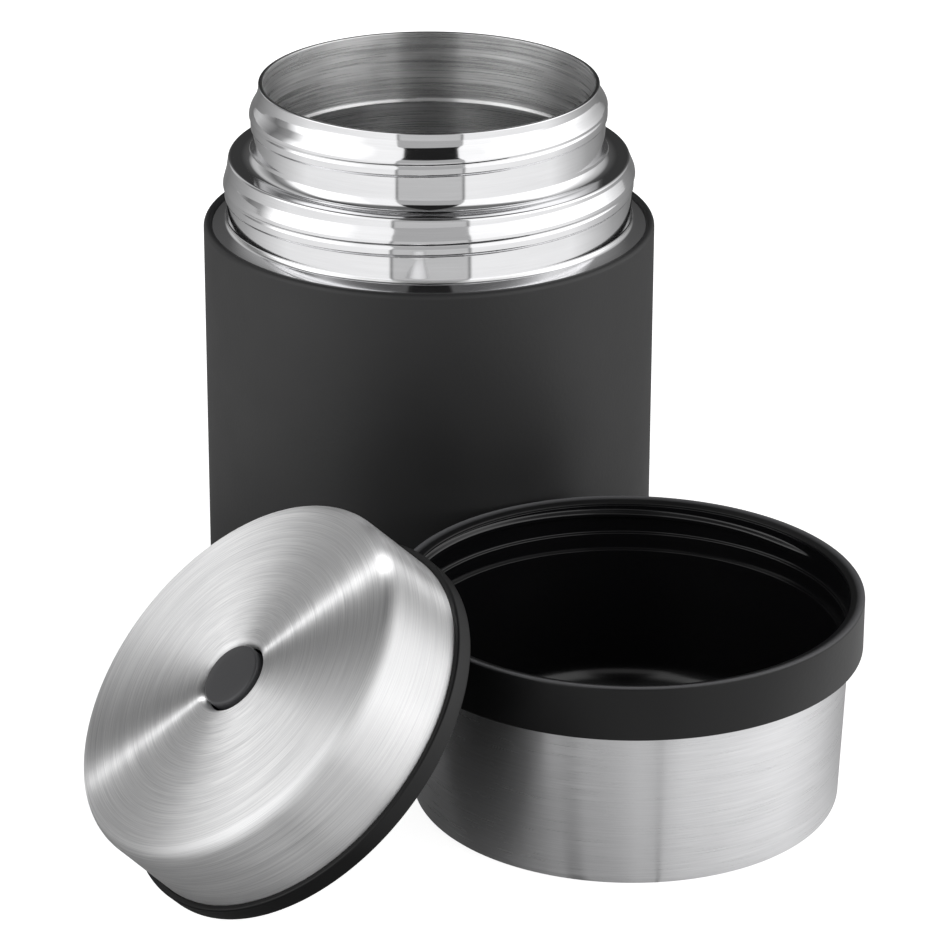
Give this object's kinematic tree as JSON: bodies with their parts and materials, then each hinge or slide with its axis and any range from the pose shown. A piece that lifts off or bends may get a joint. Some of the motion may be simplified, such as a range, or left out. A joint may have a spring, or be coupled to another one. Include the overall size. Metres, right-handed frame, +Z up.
{
  "type": "insulated food jar",
  "caption": "Double-walled steel food jar standing open, with a screw lid holding a push-button pressure valve and a lined screw-on serving cup beside it.",
  "frame": {"origin": "middle of the jar's underside, on the surface that jar, cup and lid stand on", "axes": "+Z up along the jar's axis, +Y away from the viewer of the picture, +X to the right of the picture"},
  "size_m": [0.151, 0.2088, 0.1198],
  "materials": {
    "neck_steel": "polished and finely brushed",
    "vessel_steel": "brushed",
    "spun_steel": "circular brushed",
    "cup_steel": "fine horizontal brushing",
    "plain_steel": "plain",
    "soft_coat": "soft touch, satin",
    "black_plastic": "satin moulded",
    "gloss_liner": "gloss",
    "grey_plastic": "matt moulded",
    "silicone": "soft, satin",
    "foam": "foamed",
    "copper_foil": "foil",
    "seal_glass": "glassy",
    "getter_metal": "pressed powder"
  },
  "bodies": {
    "jar": {"outer_shell": "neck_steel", "body_coat": "soft_coat", "inner_vessel": "vessel_steel", "heat_shield": "copper_foil", "shell_floor": "plain_steel", "vacuum_seal": "seal_glass", "getter": "getter_metal", "getter_clip": "plain_steel", "base_cap": "cup_steel"},
    "lid": {"lid_cap": "spun_steel", "lid_body": "black_plastic", "lid_core": "foam", "plug_cover": "black_plastic", "lid_gasket": "silicone", "valve_guide": "black_plastic", "valve_spring": "plain_steel"},
    "button": {"valve_button": "grey_plastic", "valve_stem": "plain_steel", "valve_seal": "silicone"},
    "cup": {"cup_shell": "cup_steel", "cup_liner": "gloss_liner", "cup_collar": "black_plastic"}
  },
  "joints": [
    {"name": "lid_lift", "type": "slide", "parent": "jar", "child": "lid", "axis": [0, 0, 1], "range_m": [0, 0.13]},
    {"name": "cup_lift", "type": "slide", "parent": "jar", "child": "cup", "axis": [0.866, 0, 0.5], "range_m": [0, 0.13]},
    {"name": "button_press", "type": "slide", "parent": "lid", "child": "button", "axis": [0.621, 0.333, -0.7096], "range_m": [0, 0.002], "stiffness_N_per_m": 450, "springref_m": -0.002, "deforming": ["valve_spring"]}
  ]
}
